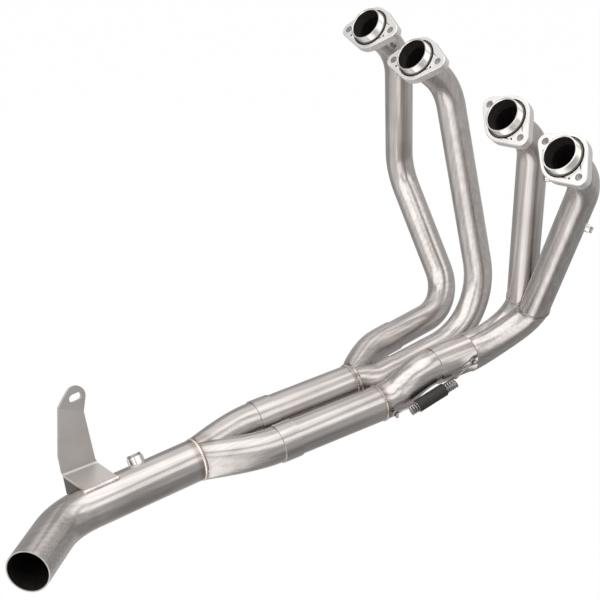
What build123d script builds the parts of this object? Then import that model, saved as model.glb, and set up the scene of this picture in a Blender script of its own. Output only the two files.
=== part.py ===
from build123d import *
from math import asin, atan2, cos, degrees, radians, sin
import os

os.makedirs("parts", exist_ok=True)

# Four-into-two-into-one exhaust header for an engine with four cylinders in a row, in millimetres.
# X points forward on the motorcycle, Y to its left and Z up. The origin is the middle of the row of
# ports, on the plane of the flange faces. Tube 1 is the one furthest to the left.

# Row of ports on the cylinder head
port_pitch = 96.0           # between the two ports of one pair
pair_gap = 170.0            # between the two inner ports
port_tilt = 45.0            # how far each port points down from straight ahead, degrees

# Tube stock
primary_od = 35.0
primary_wall = 1.2
secondary_od = 42.4
secondary_wall = 1.2
outlet_od = 48.0
outlet_wall = 1.5

# Slip sockets
slip_clearance = 0.15       # radial play of a tube in its socket
socket_wall = 1.2
socket_depth = 22.0
socket_end_gap = 2.0        # between the tube's end and the bottom of the socket

# Flanges and the turned collars that they pull into the ports
flange_thickness = 10.0
bolt_spacing = 66.0
bolt_hole_d = 8.5
bolt_line_angle = (24.0, -10.0)  # left pair and right pair, rising towards the right, degrees
bolt_line_below = 3.0       # bolt line below the middle of the port
ear_radius = 9.5
flange_hub_radius = 28.0
flange_edge_chamfer = 0.8
wire_hole_d = 2.6           # lock-wire holes below the bolt line
wire_hole_along = 25.5
wire_hole_below = 8.0
mouth_step = 0.5            # the mouth is this much wider than the tube all round
mouth_chamfer = 1.0
spigot_wall = 2.5
spigot_height = 10.4        # stands this far out of the flange face
lip_width = 2.2             # the lip is this much larger than the spigot all round
lip_proud = 0.6
lip_thickness = 4.0
lip_chamfer = 1.0
collar_tail = 4.0           # collar behind the flange
flange_clearance = 0.35     # radial play of the flange round its collar
lip_play = 1.2              # radial gap between the lip and the recess
tube_seat_depth = 10.0      # length of tube inside the collar
collar_weld = 2.4

# Bends of the four primary tubes
tube_reach = (44.0, 49.0, 42.0, 39.5)  # each tube runs this far forward before it turns down
port_bend = (82.0, 58.0, 46.0, 70.0)
tube_1_kink = 52.5          # x of the kink of tube 1
tube_1_kink_above = 128.0   # the kink above the pipes under the engine
tube_1_kink_bend = 60.0
tube_1_low = (44.0, 41.0)   # lower corner, x and y
tube_1_low_bend = 58.0
tube_2_low = (48.0, -26.0)
tube_2_low_above = 14.0
tube_2_low_bend = 88.0

# Level of the pipes under the engine, and the two secondary pipes
floor_z = -342.0
left_axis_y = -25.0
right_axis_y = -76.0
left_ring_x = -155.0        # weld between the left merge and its secondary pipe
right_ring_x = -147.0       # weld between the right link pipe and its secondary pipe
left_rim_1 = (-60.0, 24.0)  # rim of the slip socket for tube 1, x and y
left_rim_2 = (-98.0, -34.0)
tube_2_rim_above = 1.0

# Formed legs of the merges. A pull sets how far a leg keeps its direction at that end.
leg_offset = 5.0            # centre of a leg's last section beside the axis of the joined pipe
right_leg_offset = 5.0
leg_steps = 4
land = 4.0                  # round length of a merge before its weld
left_start_pull = (70.0, 32.0)
left_end_pull = ((-70.0, -55.0, 0.0), (-34.0, 0.0, 0.0))
right_pull = (2.2, 1.3)     # legs 3 and 4 at both ends, times the outside of the right slip socket
right_swell = 1.4           # above 1, the legs of the right merge keep the tube's size for longer
collector_pull = 90.0
collector_lean = 27.0

# Right merge, where tubes 3 and 4 come together and turn back
link_drop = 28.0            # right merge above the level of the secondary pipes
seam_above = 38.5           # seam of tubes 3 and 4 above the top of the right slip socket
right_seam_3 = (44.5, -89.4)  # tube 3 at the seam, x and y
right_seam_4 = (41.5, -116.5)
right_merge_y = -80.0
right_merge_x = -25.0       # both legs have become one round pipe here
right_rim_x = -75.0         # rim of the slip socket
link_bend_x = (-92.0, -128.0)
link_bend = 48.0
past_seam = 30.0            # tubes 3 and 4 are drawn past the seam and cut back to it
leg_above_seam = 2.0
leg_lead = 12.0             # straight tube ahead of a leg, cut off at the seam

# Two-into-one collector and the outlet pipe
collector_rim_x = -265.0
collector_ring_x = -380.0
outlet_corner = (-545.0, -60.0)
outlet_end = (-617.0, -136.0)
outlet_rise = 26.0
outlet_bend = 80.0

# Weld beads
bead_height = 1.0
bead_width = 3.0

# Bracket on the outlet pipe, heights from its foot
sheet = 3.0
sheet_bend = 3.0            # inside of the fold between foot and plate
bracket_y = -23.0           # outer face of the upright plate
foot_x = (-528.5, -488.0)   # foot along the fold
foot_edge_x = (-517.0, -478.0)  # foot along the top of the pipe
plate_waist = (-530.0, 29.0)
plate_top = ((-523.5, 94.0), (-495.5, 78.5))
tab_bend = 18.0             # degrees, away from the pipe
tab_middle = (17.6, 14.0)   # middle of the tab's round end, along and above the fold
tab_radius = 12.6
tab_slot = (15.0, 9.0)
gusset_reach = 26.0         # from the fold down beside the pipe
gusset_toe = 14.0

# Sensor boss on the outlet pipe
boss_x = -445.0
boss_lean = 45.0            # from straight up towards the left, degrees
boss_od = 19.0
boss_height = 7.0
boss_bore = 12.0
thread_clearance = 0.1
plug_head_d = 16.0
plug_head_h = 3.0
plug_hex = 7.0
plug_hex_depth = 2.0
plug_length = 9.0

# Gas sampling points on the primary tubes
sample_od = 9.0
sample_height = 4.5
sample_bore = 4.2
sample_along = 27.0         # on tubes 1 and 2, behind the flange face
sample_drop = (84.0, 105.0)  # on tubes 3 and 4, below the ports
sample_turn = 53.0          # on tubes 3 and 4, from straight ahead towards the right, degrees
screw_head_d = 7.0
screw_head_h = 3.5
screw_hex = 3.0
screw_hex_depth = 2.0
screw_length = 7.0

# Spring across the right slip joint
spring_wire = 2.2
coil_wire_sides = 6         # the coiled wire has flats, to keep the faces few
spring_coil_d = 11.0
spring_pitch = 3.2
spring_turns = 21
spring_y = -110.0
spring_front = (-44.0, -4.4)  # front of the spring's axis, x and height from the right merge
spring_rear = (-141.0, 0.0)  # rear of its axis, x and height from the secondary pipe
hook_front = (-36.0, 8.5)   # x, and height from the axis of the right merge
hook_rear = (-142.5, 1.0)   # x, and height from the axis of the secondary pipe
hook_stand = 5.5            # eye of the spring from the pipe that the hook is welded to
hook_wire = 3.4
hook_past = 3.2             # a hook stands this far past the eye of the spring
hook_tip = 2.4
eye_clearance = 0.2
sleeve_wall = 1.1
sleeve_clearance = 0.1
sleeve_length = 39.0
coil_shift = 2.0            # middle of the coil behind the middle of the spring's axis
sleeve_shift = 5.5

mouth_d = primary_od + 2 * mouth_step
spigot_od = mouth_d + 2 * spigot_wall
back = Vector(-1, 0, 0)
left = Vector(0, 1, 0)
up = Vector(0, 0, 1)
down = Vector(0, 0, -1)
port_axis = Vector(cos(radians(port_tilt)), 0, -sin(radians(port_tilt)))
port_up = Vector(sin(radians(port_tilt)), 0, cos(radians(port_tilt)))
port_y = {
    1: pair_gap / 2 + port_pitch,
    2: pair_gap / 2,
    3: -pair_gap / 2,
    4: -pair_gap / 2 - port_pitch,
}


def port_plane(number):
    """Flange face, looking out to the cylinder head. Its X lies along the bolt line."""
    lean = bolt_line_angle[0] if number < 3 else bolt_line_angle[1]
    bolts = left * -cos(radians(lean)) + port_up * sin(radians(lean))
    return Plane(Vector(0, port_y[number], 0), x_dir=bolts, z_dir=port_axis * -1)


def port_point(number, along):
    return Vector(0, port_y[number], 0) + port_axis * along


def port_corner(number):
    return port_point(number, tube_reach[number - 1] / cos(radians(port_tilt)))


def run(path, diameter):
    """Solid round bar along a path."""
    start = Plane(path @ 0, z_dir=path % 0)
    return sweep(start * Circle(diameter / 2), path=path)


def pipe(path, diameter, wall):
    """Round tube along a path."""
    start = Plane(path @ 0, z_dir=path % 0)
    ring = start * Circle(diameter / 2) - start * Circle(diameter / 2 - wall)
    return sweep(ring, path=path)


def peg(foot, way, diameter, start, end):
    """Solid cylinder along a direction, from one distance to another."""
    axis = Plane(foot, z_dir=way)
    return axis * Pos(0, 0, (start + end) / 2) * Cylinder(diameter / 2, end - start)


def ring_bead(plane, diameter, bar):
    """Weld bead round a pipe, cut to the bar that the pipe is made from."""
    bead_section = Polyline(
        (diameter / 2 - bead_height, 0),
        (diameter / 2 + bead_height / 2, 0),
        (diameter / 2 + bead_height, bead_width / 3),
        (diameter / 2 + bead_height, bead_width * 2 / 3),
        (diameter / 2, bead_width),
        (diameter / 2 - bead_height, bead_width),
        close=True,
    )
    return plane * revolve(Plane.XZ * make_face(bead_section), Axis.Z) - bar


def leg(start, start_pull, end, end_pull, start_r, end_half_width, end_half_height, swell):
    """One formed leg of a merge: round where its tube enters, half of the round pipe where it ends.

    The middle line leaves the start along start_pull and reaches the end along end_pull. The last
    section lies square to the pipe that the legs become, and swell sets how late the leg grows.
    """
    sections = []
    for i in range(leg_steps + 1):
        t = i / leg_steps
        middle = (
            start * (2 * t**3 - 3 * t**2 + 1)
            + start_pull * (t**3 - 2 * t**2 + t)
            + end * (3 * t**2 - 2 * t**3)
            + end_pull * (t**3 - t**2)
        )
        heading = (
            start * (6 * t**2 - 6 * t)
            + start_pull * (3 * t**2 - 4 * t + 1)
            + end * (6 * t - 6 * t**2)
            + end_pull * (3 * t**2 - 2 * t)
        )
        if i == leg_steps:
            heading = back
        tall = heading.normalized().cross(left).normalized()
        half_height = start_r + (end_half_height - start_r) * t**swell
        half_width = start_r + (end_half_width - start_r) * t**swell
        section = Plane(middle, x_dir=tall, z_dir=heading)
        if i == 0:
            sections.append(section * Circle(start_r))
        else:
            sections.append(section * Ellipse(half_height, half_width))
    return loft(sections)


def merge(legs, end, length, end_od, wall, offset=leg_offset, swell=1.0):
    """Filled outside and filled inside of a merge, whose legs become one round pipe at its end."""
    outside = peg(end, back, end_od, 0, length)
    inside = peg(end, back, end_od - 2 * wall, 0, length)
    for start, start_pull, end_pull, start_od, side in legs:
        last = end + left * (side * offset)
        half = end_od / 2
        start_r = start_od / 2
        outside += leg(start, start_pull, last, end_pull, start_r, half - offset, half, swell)
        half -= wall
        start_r -= wall
        inside += leg(start, start_pull, last, end_pull, start_r, half - offset, half, swell)
    return outside, inside


nodes = {}

# Flanges: two-bolt plates with a recess that takes the lip of the collar
lip_od = spigot_od + 2 * lip_width
ears = [(-bolt_spacing / 2, -bolt_line_below), (bolt_spacing / 2, -bolt_line_below)]
for number in port_y:
    disc = Circle(flange_hub_radius) + [Pos(*ear) * Circle(ear_radius) for ear in ears]
    plate = extrude(make_hull(disc.edges()), amount=-flange_thickness)
    plate = chamfer(plate.edges().group_by(Axis.Z)[-1], flange_edge_chamfer)
    plate -= Cylinder(spigot_od / 2 + flange_clearance, 4 * flange_thickness)
    recess = lip_thickness - lip_proud
    plate -= Pos(0, 0, -recess / 2) * Cylinder(lip_od / 2 + lip_play, recess)
    for ear in ears:
        plate -= Pos(*ear) * Cylinder(bolt_hole_d / 2, 4 * flange_thickness)
    for side in (-1, 1):
        wire_hole = Pos(side * wire_hole_along, -bolt_line_below - wire_hole_below)
        plate -= wire_hole * Cylinder(wire_hole_d / 2, 4 * flange_thickness)
    nodes[f"flange_{number}"] = port_plane(number) * plate

# Collars: turned spigot, lip and a tail that the tube is welded into
tail_end = -(flange_thickness + collar_tail)
tube_start = flange_thickness + collar_tail - tube_seat_depth
tube_r = primary_od / 2
collar_section = Polyline(
    (mouth_d / 2 + mouth_chamfer, spigot_height),
    (spigot_od / 2 - mouth_chamfer / 2, spigot_height),
    (spigot_od / 2, spigot_height - mouth_chamfer / 2),
    (spigot_od / 2, lip_proud + lip_chamfer),
    (spigot_od / 2 + lip_chamfer, lip_proud),
    (lip_od / 2, lip_proud),
    (lip_od / 2, lip_proud - lip_thickness),
    (spigot_od / 2, lip_proud - lip_thickness),
    (spigot_od / 2, tail_end),
    (tube_r, tail_end),
    (tube_r, -tube_start),
    (mouth_d / 2, -tube_start),
    (mouth_d / 2, spigot_height - mouth_chamfer),
    close=True,
)
weld_section = Polyline(
    (tube_r, tail_end),
    (tube_r + collar_weld, tail_end),
    (tube_r, tail_end - collar_weld),
    close=True,
)
collar = revolve(Plane.XZ * make_face(collar_section), Axis.Z)
collar_bead = revolve(Plane.XZ * make_face(weld_section), Axis.Z)
for number in port_y:
    nodes[f"collar_{number}"] = port_plane(number) * collar
nodes["collar_welds"] = Compound(children=[port_plane(number) * collar_bead for number in port_y])

# Primary tubes 1 and 2 end inside the slip sockets of the left merge
tube_1_corner = Vector(tube_1_low[0], tube_1_low[1], floor_z)
tube_1_rim = Vector(left_rim_1[0], left_rim_1[1], floor_z)
tube_1_way = (tube_1_rim - tube_1_corner).normalized()
tube_1_path = FilletPolyline(
    port_point(1, tube_start),
    port_corner(1),
    Vector(tube_1_kink, port_y[1], floor_z + tube_1_kink_above),
    tube_1_corner,
    tube_1_rim + tube_1_way * (socket_depth - socket_end_gap),
    radius=[port_bend[0], tube_1_kink_bend, tube_1_low_bend],
)
tube_2_corner = Vector(tube_2_low[0], tube_2_low[1], floor_z + tube_2_low_above)
tube_2_rim = Vector(left_rim_2[0], left_rim_2[1], floor_z + tube_2_rim_above)
tube_2_way = (tube_2_rim - tube_2_corner).normalized()
tube_2_path = FilletPolyline(
    port_point(2, tube_start),
    port_corner(2),
    tube_2_corner,
    tube_2_rim + tube_2_way * (socket_depth - socket_end_gap),
    radius=[port_bend[1], tube_2_low_bend],
)

# Primary tubes 3 and 4 run down towards each other, are cut to each other and end on the seam
secondary_socket_id = secondary_od + 2 * slip_clearance
secondary_socket_od = secondary_socket_id + 2 * socket_wall
merge_z = floor_z + link_drop
seam_z = merge_z + secondary_socket_od / 2 + seam_above
tube_3_corner = port_corner(3)
tube_3_seam = Vector(right_seam_3[0], right_seam_3[1], seam_z)
tube_3_way = (tube_3_seam - tube_3_corner).normalized()
tube_3_path = FilletPolyline(
    port_point(3, tube_start),
    tube_3_corner,
    tube_3_seam + tube_3_way * past_seam,
    radius=port_bend[2],
)
tube_4_corner = port_corner(4)
tube_4_seam = Vector(right_seam_4[0], right_seam_4[1], seam_z)
tube_4_way = (tube_4_seam - tube_4_corner).normalized()
tube_4_path = FilletPolyline(
    port_point(4, tube_start),
    tube_4_corner,
    tube_4_seam + tube_4_way * past_seam,
    radius=port_bend[3],
)
seam = Plane((0, 0, seam_z), z_dir=up)
cheek_way = (tube_3_way + tube_4_way).cross(tube_3_way.cross(tube_4_way)).normalized()
if cheek_way.Y < 0:
    cheek_way = cheek_way * -1
cheek = Plane((tube_3_seam + tube_4_seam) / 2, z_dir=cheek_way)

tube_bars = {
    1: run(tube_1_path, primary_od),
    2: run(tube_2_path, primary_od),
    3: run(tube_3_path, primary_od),
    4: run(tube_4_path, primary_od),
}
tubes = {
    1: pipe(tube_1_path, primary_od, primary_wall),
    2: pipe(tube_2_path, primary_od, primary_wall),
    3: split(split(pipe(tube_3_path, primary_od, primary_wall), seam, Keep.TOP), cheek, Keep.TOP),
    4: split(split(pipe(tube_4_path, primary_od, primary_wall), seam, Keep.TOP), cheek, Keep.BOTTOM),
}

# Gas sampling points: a boss on the tube, a drilled hole and a screw that closes it
turn = left * -sin(radians(sample_turn)) + back * -cos(radians(sample_turn))
tube_3_side = (turn - tube_3_way * turn.dot(tube_3_way)).normalized()
tube_4_side = (turn - tube_4_way * turn.dot(tube_4_way)).normalized()
tube_3_down = (sample_drop[0] + tube_3_corner.Z) / -tube_3_way.Z
tube_4_down = (sample_drop[1] + tube_4_corner.Z) / -tube_4_way.Z
samples = {
    1: (port_point(1, sample_along), left * -1),
    2: (port_point(2, sample_along), left),
    3: (tube_3_corner + tube_3_way * tube_3_down, tube_3_side),
    4: (tube_4_corner + tube_4_way * tube_4_down, tube_4_side),
}
bosses = []
screws = []
for number, (middle, way) in samples.items():
    top = tube_r + sample_height
    hole = peg(middle, way, sample_bore, 0, top)
    bosses.append(peg(middle, way, sample_od, 0, top) - tube_bars[number] - hole)
    tubes[number] -= hole
    shank = peg(middle, way, sample_bore - 2 * thread_clearance, top - screw_length, top)
    head = peg(middle, way, screw_head_d, top, top + screw_head_h)
    key = Plane(middle + way * (top + screw_head_h), z_dir=way)
    key_hole = extrude(key * RegularPolygon(screw_hex / 2, 6, False), amount=-screw_hex_depth)
    screws.append(shank + head - key_hole)
for number in tubes:
    nodes[f"header_tube_{number}"] = tubes[number]
nodes["sampling_bosses"] = Compound(children=bosses)
nodes["sampling_screws"] = Compound(children=screws)

# Left merge: two slip sockets, two legs and the round end that carries the secondary pipe
primary_socket_id = primary_od + 2 * slip_clearance
primary_socket_od = primary_socket_id + 2 * socket_wall
leg_1 = tube_1_rim + tube_1_way * socket_depth
leg_2 = tube_2_rim + tube_2_way * socket_depth
left_outside, left_inside = merge(
    [
        (leg_1, tube_1_way * left_start_pull[0], Vector(*left_end_pull[0]), primary_socket_od, 1),
        (leg_2, tube_2_way * left_start_pull[1], Vector(*left_end_pull[1]), primary_socket_od, -1),
    ],
    Vector(left_ring_x + land, left_axis_y, floor_z),
    land,
    secondary_od,
    secondary_wall,
)
for rim, way in [(tube_1_rim, tube_1_way), (tube_2_rim, tube_2_way)]:
    left_outside += peg(rim, way, primary_socket_od, 0, socket_depth)
    left_inside += peg(rim, way, primary_socket_id, 0, socket_depth)
nodes["left_merge"] = left_outside - left_inside

# Right merge: the legs of tubes 3 and 4 turn back together into one slip socket
leg_3 = tube_3_seam - tube_3_way * leg_above_seam
leg_4 = tube_4_seam - tube_4_way * leg_above_seam
pull_3 = right_pull[0] * secondary_socket_od
pull_4 = right_pull[1] * secondary_socket_od
right_outside, right_inside = merge(
    [
        (leg_3, tube_3_way * pull_3, back * pull_3, primary_od, 1),
        (leg_4, tube_4_way * pull_4, back * pull_4, primary_od, -1),
    ],
    Vector(right_merge_x, right_merge_y, merge_z),
    right_merge_x - right_rim_x,
    secondary_socket_od,
    socket_wall,
    right_leg_offset,
    right_swell,
)
for start, way in [(leg_3, tube_3_way), (leg_4, tube_4_way)]:
    right_outside += peg(start, way, primary_od, -leg_lead, 0)
    right_inside += peg(start, way, primary_od - 2 * socket_wall, -leg_lead, 0)
right_outside = split(right_outside, seam, Keep.BOTTOM)
nodes["right_merge"] = right_outside - right_inside

# Link pipe from the slip joint down to the level of the secondary pipes
link_path = FilletPolyline(
    Vector(right_rim_x + socket_depth, right_merge_y, merge_z),
    Vector(link_bend_x[0], right_merge_y, merge_z),
    Vector(link_bend_x[1], right_axis_y, floor_z),
    Vector(right_ring_x, right_axis_y, floor_z),
    radius=[link_bend, link_bend],
)
link_bar = run(link_path, secondary_od)
nodes["right_link_pipe"] = pipe(link_path, secondary_od, secondary_wall)

# Secondary pipes
socket_bottom_x = collector_rim_x - socket_depth
secondary_end_x = socket_bottom_x + socket_end_gap
secondaries = {
    "left": Line((left_ring_x, left_axis_y, floor_z), (secondary_end_x, left_axis_y, floor_z)),
    "right": Line((right_ring_x, right_axis_y, floor_z), (secondary_end_x, right_axis_y, floor_z)),
}
for side, straight in secondaries.items():
    nodes[f"{side}_secondary_pipe"] = pipe(straight, secondary_od, secondary_wall)

# Collector: two slip sockets and two legs that become the outlet pipe
collector_y = (left_axis_y + right_axis_y) / 2
collector_legs = []
for axis_y, side in [(left_axis_y, 1), (right_axis_y, -1)]:
    bottom = Vector(socket_bottom_x, axis_y, floor_z)
    lean_in = back * collector_pull + left * (-side * collector_lean)
    collector_legs.append((bottom, back * collector_pull, lean_in, secondary_od, side))
collector_outside, collector_inside = merge(
    collector_legs,
    Vector(collector_ring_x + land, collector_y, floor_z),
    land,
    outlet_od,
    outlet_wall,
)
for axis_y in (left_axis_y, right_axis_y):
    rim = Vector(collector_rim_x, axis_y, floor_z)
    collector_outside += peg(rim, back, secondary_socket_od, 0, socket_depth + socket_wall)
    collector_inside += peg(rim, back, secondary_socket_id, 0, socket_depth)
nodes["collector"] = collector_outside - collector_inside

# Outlet pipe, cut square to the collector where they meet
outlet_start = Vector(collector_ring_x, collector_y, floor_z)
outlet_turn = Vector(outlet_corner[0], outlet_corner[1], floor_z)
outlet_way = (outlet_turn - outlet_start).normalized()
outlet_path = FilletPolyline(
    outlet_start - outlet_way * land,
    outlet_turn,
    Vector(outlet_end[0], outlet_end[1], floor_z + outlet_rise),
    radius=outlet_bend,
)
outlet_cut = Plane(outlet_start, z_dir=back)
outlet_bar = split(run(outlet_path, outlet_od), outlet_cut, Keep.TOP)
outlet = split(pipe(outlet_path, outlet_od, outlet_wall), outlet_cut, Keep.TOP)


def outlet_axis(x):
    """Middle of the straight part of the outlet pipe at x."""
    return outlet_start + outlet_way * ((x - collector_ring_x) / outlet_way.X)


# Sensor boss, the hole under it and the plug that closes it
boss_way = up * cos(radians(boss_lean)) + left * sin(radians(boss_lean))
boss_way = (boss_way - outlet_way * boss_way.dot(outlet_way)).normalized()
boss_foot = outlet_axis(boss_x)
boss_top = outlet_od / 2 + boss_height
boss_hole = peg(boss_foot, boss_way, boss_bore, 0, boss_top)
nodes["outlet_pipe"] = outlet - boss_hole
nodes["sensor_boss"] = peg(boss_foot, boss_way, boss_od, 0, boss_top) - outlet_bar - boss_hole
plug_top = Plane(boss_foot + boss_way * (boss_top + plug_head_h), z_dir=boss_way)
nodes["sensor_plug"] = (
    peg(boss_foot, boss_way, plug_head_d, boss_top, boss_top + plug_head_h)
    + peg(boss_foot, boss_way, boss_bore - 2 * thread_clearance, boss_top - plug_length, boss_top)
    - extrude(plug_top * RegularPolygon(plug_hex / 2, 6, False), amount=-plug_hex_depth)
)

# Weld beads round the pipes
for weld, straight in [("left_merge_weld", secondaries["left"]), ("right_link_weld", secondaries["right"])]:
    nodes[weld] = ring_bead(Plane(straight @ 0, z_dir=back), secondary_od, run(straight, secondary_od))
nodes["collector_weld"] = ring_bead(
    Plane(outlet_start - back * bead_width, z_dir=back),
    outlet_od,
    peg(outlet_start, back, outlet_od, -land, land),
)

# Weld bead round the ends of tubes 3 and 4, on the seam of the right merge
bead_slab = Pos(0, 0, seam_z + bead_width / 2) * Box(6 * primary_od, 12 * primary_od, bead_width)
bead_od = primary_od + 2 * bead_height
bead_3 = peg(tube_3_seam, tube_3_way, bead_od, -past_seam, past_seam) & bead_slab
bead_4 = peg(tube_4_seam, tube_4_way, bead_od, -past_seam, past_seam) & bead_slab
bead_halves = [split(bead_3, cheek, Keep.TOP), split(bead_4, cheek, Keep.BOTTOM)]
nodes["right_merge_weld"] = Compound(
    children=[half - tube_bars[3] - tube_bars[4] for half in bead_halves]
)

# Bracket: one folded sheet with a foot, an upright plate and a slotted tab, and a gusset
foot_z = floor_z + outlet_od / 2
plate_end = foot_z + plate_top[0][1] + sheet
foot_front = outlet_axis(foot_edge_x[0]).Y
angle_outline = Polyline(
    (foot_front, foot_z),
    (bracket_y + sheet, foot_z),
    (bracket_y + sheet, plate_end),
    (bracket_y, plate_end),
    (bracket_y, foot_z + sheet),
    (foot_front, foot_z + sheet),
    close=True,
)
angle_face = make_face(angle_outline)
inner_corner = angle_face.vertices().sort_by_distance(Vector(bracket_y, foot_z + sheet, 0))[0]
angle_face = fillet(inner_corner, sheet_bend)
outer_corner = angle_face.vertices().sort_by_distance(Vector(bracket_y + sheet, foot_z, 0))[0]
angle_face = fillet(outer_corner, sheet_bend + sheet)
long_angle = Pos(plate_waist[0] - sheet, 0, 0) * extrude(
    Plane.YZ * angle_face, amount=foot_edge_x[1] - plate_waist[0] + 2 * sheet
)
fold_top = foot_z + sheet + sheet_bend
foot_outline = Polyline(
    (foot_edge_x[0], outlet_axis(foot_edge_x[0]).Y),
    (foot_edge_x[1], outlet_axis(foot_edge_x[1]).Y),
    (foot_x[1], bracket_y + sheet),
    (foot_x[0], bracket_y + sheet),
    close=True,
)
plate_outline = Polyline(
    (foot_x[0], fold_top),
    (plate_waist[0], foot_z + plate_waist[1]),
    (plate_top[0][0], foot_z + plate_top[0][1]),
    (plate_top[1][0], foot_z + plate_top[1][1]),
    (foot_x[1], fold_top),
    close=True,
)
foot_block = extrude(Pos(0, 0, foot_z) * make_face(foot_outline), amount=fold_top - foot_z)
plate_plane = Plane((0, bracket_y, 0), x_dir=back * -1, z_dir=left * -1)
plate_block = extrude(plate_plane * make_face(plate_outline), amount=-sheet)
bracket = (long_angle & foot_block) + plate_block

tab_start = Vector(plate_top[0][0], bracket_y, foot_z + plate_top[0][1])
tab_end = Vector(plate_top[1][0], bracket_y, foot_z + plate_top[1][1])
fold_way = (tab_end - tab_start).normalized()
fold_length = (tab_end - tab_start).length
fold_up = left.cross(fold_way) * -1 * cos(radians(tab_bend)) + left * sin(radians(tab_bend))
tab_plane = Plane(tab_start, x_dir=fold_way, z_dir=fold_way.cross(fold_up))
fold_corner = make_face(Polyline((0, 0), (fold_length, 0), tab_middle, close=True))
tab_face = make_hull((fold_corner.edges() + (Pos(*tab_middle) * Circle(tab_radius)).edges()))
level = degrees(atan2(-fold_way.Z, fold_way.X))
tab_face -= Pos(*tab_middle) * Rot(0, 0, level) * SlotOverall(*tab_slot)
bracket += extrude(tab_plane * tab_face, amount=-sheet)

edge_start = Vector(foot_x[0], bracket_y + sheet, 0)
edge_end = Vector(foot_edge_x[0], foot_front, 0)
edge_way = (edge_start - edge_end).normalized()
edge_length = (edge_start - edge_end).length
gusset_outline = Polyline(
    (-edge_length, foot_z),
    (-sheet, foot_z),
    (-2 * sheet, foot_z - gusset_reach + sheet),
    (-sheet - gusset_toe, foot_z - gusset_reach),
    (-edge_length, foot_z - gusset_reach),
    close=True,
)
gusset_plane = Plane(edge_start, x_dir=edge_way, z_dir=edge_way.cross(up))
gusset = extrude(gusset_plane * make_face(gusset_outline), amount=sheet) - outlet_bar
nodes["bracket"] = bracket - outlet_bar + gusset

# Weld bead where the foot meets the top of the pipe
bead_start = outlet_axis(foot_edge_x[0]) + up * (outlet_od / 2)
bead_end = outlet_axis(foot_edge_x[1]) + up * (outlet_od / 2)
bead = run(Line(bead_start, bead_end), 2 * sheet) + Pos(*bead_start) * Sphere(sheet)
bead += Pos(*bead_end) * Sphere(sheet)
foot_edge = Plane(bead_start, z_dir=(bead_end - bead_start).cross(up))
nodes["bracket_weld"] = split(bead, foot_edge, Keep.TOP) - outlet_bar

# Spring across the right slip joint, its two hooks and its rubber sleeve
axis_front = Vector(spring_front[0], spring_y, merge_z + spring_front[1])
axis_rear = Vector(spring_rear[0], spring_y, floor_z + spring_rear[1])
spring_way = (axis_rear - axis_front).normalized()
spring_length = (axis_rear - axis_front).length
coil_r = spring_coil_d / 2
coil_length = spring_pitch * spring_turns
coil_start = (spring_length - coil_length) / 2 + coil_shift
coil_plane = Plane(axis_front + spring_way * coil_start, x_dir=left.cross(spring_way), z_dir=spring_way)
coil_path = Helix(spring_pitch, coil_length, coil_r)
coil_face = Plane(coil_path @ 0, z_dir=coil_path % 0) * RegularPolygon(spring_wire / 2, coil_wire_sides)
spring = coil_plane * sweep(coil_face, path=coil_path, is_frenet=True)
eye_r = (hook_wire + spring_wire) / 2 + eye_clearance
hook_bars = {
    "front": (hook_front, right_merge_y, merge_z, secondary_socket_od, right_outside, coil_path @ 0),
    "rear": (hook_rear, right_axis_y, floor_z, secondary_od, link_bar, coil_path @ 1),
}
for end, (place, axis_y, axis_z, bar_od, bar, coil_end) in hook_bars.items():
    coil_end = coil_plane.from_local_coords(coil_end)
    lean = asin(place[1] / (bar_od / 2 + hook_stand))
    out = left * -cos(lean) + up * sin(lean)
    axis_point = Vector(place[0], axis_y, axis_z)
    eye = axis_point + out * (bar_od / 2 + hook_stand)
    knee = eye + out * hook_past
    pull = coil_end - eye
    pull = (pull - out * pull.dot(out)).normalized()
    hook_path = FilletPolyline(axis_point, knee, knee + (out - pull) * hook_tip, radius=hook_wire)
    nodes[f"spring_hook_{end}"] = run(hook_path, hook_wire) - bar
    spring += Plane(eye, x_dir=pull, z_dir=out) * Torus(eye_r, spring_wire / 2)
    spring += run(Line(eye + pull * eye_r, coil_end), spring_wire)
nodes["spring"] = spring
sleeve_middle = axis_front + spring_way * (spring_length / 2 + sleeve_shift)
nodes["spring_sleeve"] = pipe(
    Line(
        sleeve_middle - spring_way * (sleeve_length / 2),
        sleeve_middle + spring_way * (sleeve_length / 2),
    ),
    spring_coil_d + spring_wire + 2 * sleeve_clearance + 2 * sleeve_wall,
    sleeve_wall,
)

for name, shape in nodes.items():
    export_step(shape, f"parts/{name}.step")
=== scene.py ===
import math

import bmesh
import bpy
from mathutils import Matrix, Vector
from mathutils.bvhtree import BVHTree


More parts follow.
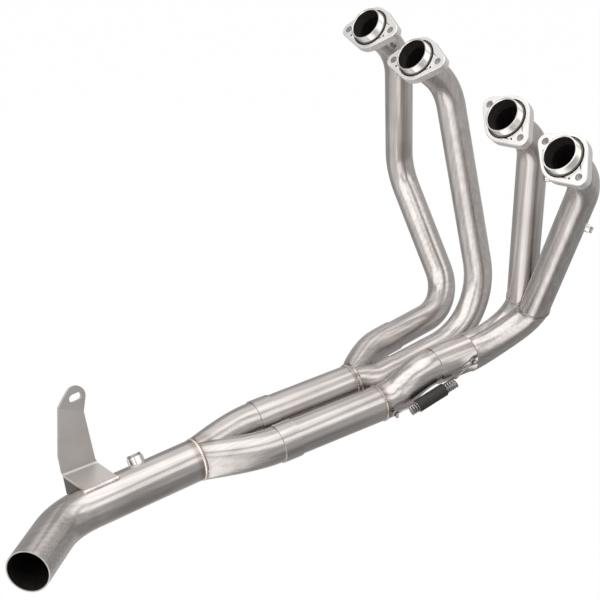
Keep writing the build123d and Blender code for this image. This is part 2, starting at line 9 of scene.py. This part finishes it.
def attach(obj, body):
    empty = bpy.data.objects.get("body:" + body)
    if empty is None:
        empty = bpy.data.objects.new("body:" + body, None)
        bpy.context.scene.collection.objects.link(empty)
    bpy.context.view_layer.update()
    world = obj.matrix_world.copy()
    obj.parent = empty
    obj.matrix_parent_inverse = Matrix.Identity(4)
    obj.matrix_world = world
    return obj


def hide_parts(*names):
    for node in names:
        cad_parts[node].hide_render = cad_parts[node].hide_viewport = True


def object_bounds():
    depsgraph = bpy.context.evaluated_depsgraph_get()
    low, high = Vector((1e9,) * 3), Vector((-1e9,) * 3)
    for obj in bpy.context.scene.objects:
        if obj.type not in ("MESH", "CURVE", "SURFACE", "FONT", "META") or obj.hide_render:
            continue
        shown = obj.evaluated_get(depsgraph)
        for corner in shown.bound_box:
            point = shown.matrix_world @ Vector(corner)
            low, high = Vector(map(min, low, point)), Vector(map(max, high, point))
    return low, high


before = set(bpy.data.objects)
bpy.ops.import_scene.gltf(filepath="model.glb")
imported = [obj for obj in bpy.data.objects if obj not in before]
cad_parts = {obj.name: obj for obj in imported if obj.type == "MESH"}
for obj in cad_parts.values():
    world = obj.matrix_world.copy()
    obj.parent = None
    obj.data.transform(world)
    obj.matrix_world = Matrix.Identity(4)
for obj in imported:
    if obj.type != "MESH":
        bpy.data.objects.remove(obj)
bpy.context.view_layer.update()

# Four header tubes of thin stainless steel, bent on a mandrel and brushed along their length.
# Each is welded into the collar at its port. Tubes 1 and 2 end in slip sockets, and tubes 3 and 4
# are cut to each other. Inside they are painted near black: painted shade for the dark bore.


class Shade:
    """A socket in a node tree. Arithmetic on it adds Math nodes to the same tree."""

    def __init__(self, tree, socket=None):
        self.tree = tree
        self.socket = socket

    def node(self, kind, settings=None, values=None, output=0):
        """Adds a node: its settings first, then values or links for its sockets."""
        made = self.tree.nodes.new(kind)
        for key, value in (settings or {}).items():
            setattr(made, key, value)
        for key, value in (values or {}).items():
            if isinstance(value, Shade):
                self.tree.links.new(value.socket, made.inputs[key])
            else:
                made.inputs[key].default_value = value
        return Shade(self.tree, made.outputs[output])

    def math(self, operation, *values):
        return self.node("ShaderNodeMath", {"operation": operation}, dict(enumerate(values)))

    def __add__(self, other):
        return self.math("ADD", self, other)

    def __radd__(self, other):
        return self.math("ADD", other, self)

    def __sub__(self, other):
        return self.math("SUBTRACT", self, other)

    def __rsub__(self, other):
        return self.math("SUBTRACT", other, self)

    def __mul__(self, other):
        return self.math("MULTIPLY", self, other)

    def __rmul__(self, other):
        return self.math("MULTIPLY", other, self)

    def rise(self, start, end):
        """0 below start, 1 above end, smooth between them."""
        limits = {"Value": self, "From Min": start, "From Max": end}
        return self.node("ShaderNodeMapRange", {"interpolation_type": "SMOOTHSTEP"}, limits)

    def place(self):
        """Object coordinates, which are metres in the frame of the whole object."""
        return self.node("ShaderNodeTexCoord", output="Object")

    def axis(self, name):
        return self.node("ShaderNodeSeparateXYZ", values={0: self}, output=name)

    def noise(self, place, scale, detail=2.0):
        values = {"Vector": place, "Scale": scale, "Detail": detail}
        return self.node("ShaderNodeTexNoise", values=values)

    def stretched(self, place, scale):
        return self.node("ShaderNodeMapping", values={"Vector": place, "Scale": scale})

    def blend(self, amount, first, second):
        values = {"Factor": amount, 6: first, 7: second}
        return self.node("ShaderNodeMix", {"data_type": "RGBA"}, values, output=2)

    def bump(self, height, strength, depth):
        values = {"Height": height, "Strength": strength, "Distance": depth}
        return self.node("ShaderNodeBump", values=values)


def finish(name, **sockets):
    """New material with one Principled shader and these constant values on its sockets."""
    material = bpy.data.materials.new(name)
    material.use_nodes = True
    shader = material.node_tree.nodes["Principled BSDF"]
    names = {"metallic": "Metallic", "ior": "IOR"}
    for key, value in sockets.items():
        shader.inputs[names[key]].default_value = value
    return material, Shade(material.node_tree), shader


def feed(shader, socket, value):
    value.tree.links.new(value.socket, shader.inputs[socket])


# Where the heat of the welds tints the steel: two butt welds, the collector's ring and its crotch.
left_butt_x = -0.155
right_butt_x = -0.147
pipe_split_y = -0.0505
collector_x = -0.380
crotch = (-0.368, pipe_split_y, -0.320)


def brushed_steel(name, upright=False):
    """Stainless tube with fine brush lines. Upright tubes turn into lying ones low down."""
    material, shade, shader = finish(name, metallic=1.0)
    place = shade.place()
    lines = shade.noise(shade.stretched(place, (7, 300, 300)), 1.0, 3.0)
    if upright:
        standing = place.axis("Z").rise(-0.33, -0.25)
        tall_lines = shade.noise(shade.stretched(place, (300, 300, 7)), 1.0, 2.0)
        lines = lines * (1 - standing) + tall_lines * standing
    cloud = shade.noise(place, 18.0)
    tone = lines.rise(0.3, 0.7) * 0.6 + cloud.rise(0.3, 0.7) * 0.4
    steel = shade.blend(tone, (0.46, 0.43, 0.415, 1), (0.62, 0.59, 0.578, 1))
    along, across = place.axis("X"), place.axis("Y")
    right_side = (pipe_split_y - across).rise(0.0, 0.001)
    butt = along - left_butt_x - (right_butt_x - left_butt_x) * right_side
    heat = butt.math("ABSOLUTE", butt).rise(0.007, 0.001)
    ring = along - collector_x
    heat = heat + ring.math("ABSOLUTE", ring).rise(0.009, 0.002)
    ends = {0: place, 1: crotch}
    apart = shade.node("ShaderNodeVectorMath", {"operation": "DISTANCE"}, ends, output="Value")
    heat = heat + apart.rise(0.016, 0.006) * cloud.rise(0.2, 0.6)
    feed(shader, "Base Color", shade.blend(heat * 0.6, steel, (0.30, 0.235, 0.205, 1)))
    feed(shader, "Roughness", 0.18 + 0.06 * lines + 0.05 * cloud)
    feed(shader, "Normal", shade.bump(lines, 0.025, 0.0003))
    return material


# Near-black painted shade with a faint mottle, for the inside of bores and a tube's cut end deep
# inside.
painted_bore_shade, shade, shader = finish("painted_bore_shade", ior=1.12)
shade_mottle = shade.noise(shade.place(), 160.0, 4.0)
feed(shader, "Base Color", shade.blend(shade_mottle, (0.004, 0.0035, 0.0035, 1), (0.022, 0.018, 0.017, 1)))
feed(shader, "Roughness", 0.45 + 0.2 * shade_mottle)


port_way = Vector((-1, 0, 1)).normalized()
tube_end_depth = 0.03


def dressed(node, material, crease=28, shade_reach=0.0):
    """The CAD node as one smooth mesh.

    With a distance given, near-black painted shade covers facing walls within it, and a tube's cut
    end.
    """
    shape = bmesh.new()
    shape.from_mesh(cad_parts[node].data)
    bmesh.ops.remove_doubles(shape, verts=shape.verts, dist=1e-6)
    # Painted shade: faces that look across a bore at another wall, and a tube's cut end, take the dark
    # material.
    if shade_reach:
        walls = BVHTree.FromBMesh(shape)
        for face in shape.faces:
            start = face.calc_center_median() + face.normal * 1e-4
            across = walls.ray_cast(start, face.normal, shade_reach)
            cut_end = -tube_end_depth < start.dot(port_way) < 0 and face.normal.dot(port_way) > 0.99
            if across[0] and across[1].dot(face.normal) < -0.3 or cut_end:
                face.material_index = 1
    mesh = bpy.data.meshes.new(f"{node}_finished")
    shape.to_mesh(mesh)
    shape.free()
    mesh.shade_smooth()
    mesh.set_sharp_from_angle(angle=math.radians(crease))
    mesh.materials.append(material)
    if shade_reach:
        mesh.materials.append(painted_bore_shade)
    piece = bpy.data.objects.new(f"{node}_finished", mesh)
    bpy.context.scene.collection.objects.link(piece)
    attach(piece, "root")
    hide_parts(node)
    return piece


upright_tube = brushed_steel("brushed_tube", upright=True)
for number in (1, 2, 3, 4):
    dressed(f"header_tube_{number}", upright_tube, shade_reach=0.036)

# Merges, link pipe, secondary pipes, collector and outlet of the same brushed stainless steel.
# The merges are pressed in halves and welded, the pipes slip into them or are butt welded, and the
# outlet ends in a plain cut. Its inside has the same near-black painted shade.
lying_pipe = brushed_steel("brushed_pipe")
for node in (
    "left_merge", "right_merge", "right_link_pipe", "left_secondary_pipe", "right_secondary_pipe",
    "collector",
):
    dressed(node, lying_pipe, crease=13)
dressed("outlet_pipe", lying_pipe, shade_reach=0.05)

# Collars, turned from stainless bar: a spigot that enters the port, a lip under the flange and a
# tail that takes the tube. The lathe leaves fine rings round the port's axis. The lip, in the gap
# under the flange, is painted dark as shade, and the bore has the same near-black painted shade.
pair_middle_y = 0.133
port_from_middle = 0.048
spigot_r = 0.0205
port_turn = Matrix.Rotation(math.radians(45), 3, "Y").to_euler()
turned, shade, shader = finish("turned_collar", metallic=1.0)
square = shade.node("ShaderNodeMapping", values={"Vector": shade.place(), "Rotation": port_turn})
rings = shade.noise(shade.stretched(square, (2, 2, 2600)), 1.0, 2.0)
cloud = shade.noise(square, 60.0)
aside = square.axis("Y")
aside = aside.math("ABSOLUTE", aside) - pair_middle_y
aside = aside.math("ABSOLUTE", aside) - port_from_middle
above = square.axis("X")
from_axis = above.math("SQRT", above * above + aside * aside)
bright = shade.blend(rings.rise(0.3, 0.7), (0.62, 0.60, 0.58, 1), (0.82, 0.81, 0.79, 1))
# Painted shade: beyond the spigot's radius the collar is dark, for the shade in the gap under the
# flange.
painted_lip_shade = from_axis.rise(spigot_r, spigot_r + 0.0006)
feed(shader, "Base Color", shade.blend(painted_lip_shade, bright, (0.10, 0.09, 0.085, 1)))
feed(shader, "Roughness", 0.12 + 0.1 * rings + 0.06 * cloud)
feed(shader, "Normal", shade.bump(rings, 0.2, 0.0002))
for number in (1, 2, 3, 4):
    dressed(f"collar_{number}", turned, shade_reach=0.04)

# Flanges, milled from plate and bead blasted: two bolt holes, two lock-wire holes and a recess
# that bears on the collar's lip. They turn freely on their collars.
blasted, shade, shader = finish("blasted_flange", metallic=1.0)
grain = shade.noise(shade.place(), 1500.0, 2.0)
cloud = shade.noise(shade.place(), 45.0)
feed(shader, "Base Color", shade.blend(cloud, (0.72, 0.71, 0.70, 1), (0.81, 0.805, 0.80, 1)))
feed(shader, "Roughness", 0.36 + 0.1 * cloud)
feed(shader, "Normal", shade.bump(grain, 0.15, 0.0002))
for number in (1, 2, 3, 4):
    dressed(f"flange_{number}", blasted, crease=20)

# Weld beads, laid by hand in small overlapping coins of filler and still tinted by the heat. The
# one along the bracket's foot is larger and brighter, and the seam of tubes 3 and 4 is brushed down.


def bead_finish(name, dark, light):
    material, shade, shader = finish(name, metallic=1.0)
    tint = shade.noise(shade.place(), 90.0)
    grain = shade.noise(shade.place(), 900.0)
    feed(shader, "Base Color", shade.blend(tint.rise(0.35, 0.65), dark, light))
    feed(shader, "Roughness", 0.2 + 0.15 * tint)
    feed(shader, "Normal", shade.bump(grain, 0.3, 0.0003))
    return material


def coins(name, material, first, size, centre, turn, shift, count):
    """Flattened balls of filler, repeated round an axis along X or along a straight line."""
    shape = bmesh.new()
    bmesh.ops.create_uvsphere(shape, u_segments=12, v_segments=8, radius=1.0)
    bmesh.ops.scale(shape, verts=shape.verts, vec=size)
    bmesh.ops.translate(shape, verts=shape.verts, vec=first)
    whole = shape.verts[:] + shape.edges[:] + shape.faces[:]
    bmesh.ops.spin(
        shape, geom=whole, cent=centre, axis=(1, 0, 0), dvec=shift,
        angle=turn * (count - 1) / count, steps=count - 1, use_duplicate=True,
    )
    mesh = bpy.data.meshes.new(name)
    shape.to_mesh(mesh)
    shape.free()
    mesh.shade_smooth()
    mesh.materials.append(material)
    piece = bpy.data.objects.new(name, mesh)
    bpy.context.scene.collection.objects.link(piece)
    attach(piece, "root")


tinted_bead = bead_finish("tinted_bead", (0.31, 0.265, 0.245, 1), (0.55, 0.495, 0.47, 1))
bright_bead = bead_finish("bright_bead", (0.60, 0.51, 0.48, 1), (0.82, 0.77, 0.75, 1))
brushed_bead = bead_finish("brushed_bead", (0.36, 0.33, 0.315, 1), (0.52, 0.49, 0.475, 1))
for node in ("collar_welds", "left_merge_weld", "right_link_weld"):
    dressed(node, tinted_bead, crease=50)
dressed("right_merge_weld", brushed_bead, crease=50)
for node in ("collector_weld", "bracket_weld"):
    dressed(node, bright_bead, crease=50)
ring_coin = (0.0016, 0.0022, 0.0013)
for name, material, centre, radius, count in (
    ("left_merge_coins", tinted_bead, (-0.1565, -0.025, -0.342), 0.0212, 44),
    ("right_link_coins", tinted_bead, (-0.1485, -0.076, -0.342), 0.0212, 44),
    ("collector_coins", bright_bead, (-0.3785, -0.0505, -0.342), 0.024, 50),
):
    top = Vector(centre) + Vector((0, 0, radius))
    coins(name, material, top, ring_coin, centre, 2 * math.pi, (0, 0, 0), count)
foot_z = -0.318
foot_start = Vector((-0.517, -0.0584, foot_z))
foot_end = Vector((-0.478, -0.0561, foot_z))
foot_coin = (0.0029, 0.0033, 0.0032)
foot_count = 10
step = (foot_end - foot_start) / (foot_count - 1)
coins("foot_coins", bright_bead, foot_start, foot_coin, foot_start, 0.0, step, foot_count)

# Bosses for gas samples and for the sensor, turned and welded on, with the screws and the plug
# that close them.
small_turned, shade, shader = finish("turned_boss", metallic=1.0)
marks = shade.noise(shade.place(), 400.0, 2.0)
feed(shader, "Base Color", shade.blend(marks, (0.62, 0.60, 0.58, 1), (0.82, 0.81, 0.80, 1)))
feed(shader, "Roughness", 0.16 + 0.12 * marks)
for node in ("sampling_bosses", "sensor_boss"):
    dressed(node, small_turned)
screw, shade, shader = finish("closing_screw", metallic=1.0)
marks = shade.noise(shade.place(), 300.0, 2.0)
feed(shader, "Base Color", shade.blend(marks, (0.30, 0.28, 0.27, 1), (0.46, 0.44, 0.43, 1)))
feed(shader, "Roughness", 0.24 + 0.14 * marks)
for node in ("sampling_screws", "sensor_plug"):
    dressed(node, screw)

# Bracket of folded stainless sheet, left dull from the rolling mill, with a slotted tab. Below the
# foot, by the weld, the sheet is painted dark: a painted shade for the foot's shadow.
mill_sheet, shade, shader = finish("mill_sheet", metallic=1.0)
place = shade.place()
grain = shade.noise(shade.stretched(place, (500, 500, 40)), 1.0, 3.0)
cloud = shade.noise(place, 35.0)
sheet = shade.blend(cloud, (0.50, 0.475, 0.46, 1), (0.60, 0.575, 0.56, 1))
# Painted shade: the sheet below the foot is dark, as it lies in the foot's shadow.
painted_shade_under_foot = place.axis("Z").rise(foot_z + 0.0002, foot_z - 0.0015)
feed(shader, "Base Color", shade.blend(painted_shade_under_foot, sheet, (0.12, 0.11, 0.10, 1)))
feed(shader, "Roughness", 0.38 + 0.1 * grain)
feed(shader, "Normal", shade.bump(grain, 0.1, 0.0002))
dressed("bracket", mill_sheet, crease=20)

# Spring that keeps the slip joint together, hung on two hooks of bent wire.
wire, shade, shader = finish("spring_wire", metallic=1.0)
marks = shade.noise(shade.place(), 500.0, 2.0)
feed(shader, "Base Color", shade.blend(marks, (0.25, 0.235, 0.225, 1), (0.45, 0.43, 0.42, 1)))
feed(shader, "Roughness", 0.18 + 0.14 * marks)
for node in ("spring", "spring_hook_front", "spring_hook_rear"):
    dressed(node, wire, crease=60)

# Sleeve of black rubber hose over the spring, so that it doesn't ring.
rubber, shade, shader = finish("rubber_hose")
skin = shade.noise(shade.place(), 700.0, 3.0)
feed(shader, "Base Color", shade.blend(skin, (0.007, 0.0065, 0.0065, 1), (0.022, 0.021, 0.02, 1)))
feed(shader, "Roughness", 0.5 + 0.2 * skin)
feed(shader, "Normal", shade.bump(skin, 0.2, 0.0003))
dressed("spring_sleeve", rubber, crease=40)

# Studio: pale floor well below the part, white to the camera and to what the metal mirrors.
low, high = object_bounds()
centre = (low + high) / 2
floor_drop = 1.3
floor_mesh = bpy.data.meshes.new("floor")
shape = bmesh.new()
bmesh.ops.create_grid(shape, x_segments=1, y_segments=1, size=14.0)
bmesh.ops.translate(shape, verts=shape.verts, vec=(0, 0, centre.z - floor_drop))
shape.to_mesh(floor_mesh)
shape.free()
floor = bpy.data.objects.new("floor", floor_mesh)
bpy.context.scene.collection.objects.link(floor)
pale = bpy.data.materials.new("pale_floor")
pale.use_nodes = True
shade = Shade(pale.node_tree)
shader = pale.node_tree.nodes["Principled BSDF"]
shader.inputs["Base Color"].default_value = (0.92, 0.92, 0.92, 1)
shader.inputs["Roughness"].default_value = 0.9
glow = shade.node("ShaderNodeEmission", values={"Color": (1, 1, 1, 1), "Strength": 1.0})


def seen_or_mirrored(shade):
    """1 for what the camera sees, straight or in a mirror, and 0 for the light that it sheds."""
    seen = shade.node("ShaderNodeLightPath", output="Is Camera Ray")
    seen = seen + shade.node("ShaderNodeLightPath", output="Is Glossy Ray")
    return seen + shade.node("ShaderNodeLightPath", output="Is Transmission Ray")


lit = Shade(pale.node_tree, shader.outputs["BSDF"])
mixed = shade.node("ShaderNodeMixShader", values={0: seen_or_mirrored(shade) * 0.985, 1: lit, 2: glow})
surface = pale.node_tree.nodes["Material Output"].inputs["Surface"]
pale.node_tree.links.new(mixed.socket, surface)
floor_mesh.materials.append(pale)

world = bpy.data.worlds.new("studio")
bpy.context.scene.world = world
world.use_nodes = True
shade = Shade(world.node_tree)
background = world.node_tree.nodes["Background"]
background.inputs["Color"].default_value = (1, 1, 1, 1)
feed(background, "Strength", 0.55 + 0.45 * seen_or_mirrored(shade))

# Soft boxes and grey flags round the part, as one tent that only polished surfaces mirror: a wide
# box overhead, one behind, strips on the camera's side, and darker flags to the left and low in
# front.
tent_mesh = bpy.data.meshes.new("tent")
shape = bmesh.new()
bmesh.ops.create_uvsphere(shape, u_segments=32, v_segments=16, radius=1.05)
shape.to_mesh(tent_mesh)
shape.free()
tent = bpy.data.objects.new("tent", tent_mesh)
tent.location = centre
bpy.context.scene.collection.objects.link(tent)
tent.visible_camera = False
tent.visible_diffuse = False
tent.visible_shadow = False
tent.visible_transmission = False
cloth = bpy.data.materials.new("tent_cloth")
cloth.use_nodes = True
cloth.cycles.emission_sampling = "NONE"
shade = Shade(cloth.node_tree)
way = shade.node("ShaderNodeVectorMath", {"operation": "NORMALIZE"}, {0: shade.place()})
tall = way.axis("Z")
plan = shade.node("ShaderNodeVectorMath", {"operation": "MULTIPLY"}, {0: way, 1: (1, 1, 0)})
plan = shade.node("ShaderNodeVectorMath", {"operation": "NORMALIZE"}, {0: plan})


def facing(azimuth):
    """Cosine of the angle on the floor plan between a direction in the tent and this one."""
    a = math.radians(azimuth)
    values = {0: plan, 1: (math.cos(a), math.sin(a), 0)}
    return shade.node("ShaderNodeVectorMath", {"operation": "DOT_PRODUCT"}, values, output="Value")


overhead = tall.rise(0.80, 0.88)
lower = 1 - tall.rise(0.22, 0.34)
lowest = 1 - tall.rise(-0.42, -0.26)
rear_box = facing(172).rise(0.55, 0.74) * tall.rise(0.2, 0.32) * (1 - overhead)
high_strip = facing(-68).rise(0.55, 0.72) * tall.rise(0.36, 0.44) * (1 - tall.rise(0.66, 0.74))
front_box = facing(10).rise(0.92, 0.97) * tall.rise(0.3, 0.4) * (1 - overhead)
left_box = facing(62).rise(0.82, 0.94) * tall.rise(0.1, 0.4) * (1 - overhead)
side_strip = facing(-123).rise(0.84, 0.965) * lower
side_box = facing(178).rise(0.35, 0.9) * lower
slot = facing(-72).rise(0.95, 0.985) * lower
left_flag = facing(96).rise(0.76, 0.94) * lower
front_flag = facing(-40).rise(0.50, 0.75) * lowest
level = 0.5 + 1.05 * overhead + 1.0 * rear_box + 0.9 * high_strip
level = level + 0.75 * front_box + 0.4 * left_box
level = level + 0.7 * side_strip + 0.25 * side_box
level = level - 0.06 * slot - 0.14 * left_flag - 0.19 * front_flag
warm_white = (1.0, 0.985, 0.97, 1)
shine = shade.node("ShaderNodeEmission", values={"Color": warm_white, "Strength": level * 1.2})
cloth.node_tree.nodes.remove(cloth.node_tree.nodes["Principled BSDF"])
cloth.node_tree.links.new(shine.socket, cloth.node_tree.nodes["Material Output"].inputs["Surface"])
tent_mesh.materials.append(cloth)

for name, spot, size, power in (
    ("overhead_lamp", Vector((0.0, 0.0, 2.2)), 2.4, 60.0),
    ("rear_lamp", Vector((-2.2, -0.6, 1.4)), 1.6, 40.0),
):
    lamp = bpy.data.lights.new(name, "AREA")
    lamp.size = size
    lamp.energy = power
    holder = bpy.data.objects.new(name, lamp)
    holder.location = centre + spot
    holder.rotation_euler = (-spot).to_track_quat("-Z", "Y").to_euler()
    holder.visible_glossy = False
    bpy.context.scene.collection.objects.link(holder)

# Camera behind, to the right of and above the part, as in the photograph.
camera = bpy.data.cameras.new("camera")
camera.sensor_width = 36.0
camera.lens = 90.0
eye = bpy.data.objects.new("camera", camera)
eye.location = (-0.943, -1.1895, 0.7908)
eye.rotation_euler = Vector((0.4254, 0.6911, -0.5843)).to_track_quat("-Z", "Y").to_euler()
bpy.context.scene.collection.objects.link(eye)
bpy.context.scene.camera = eye
bpy.context.scene.view_settings.view_transform = "Standard"
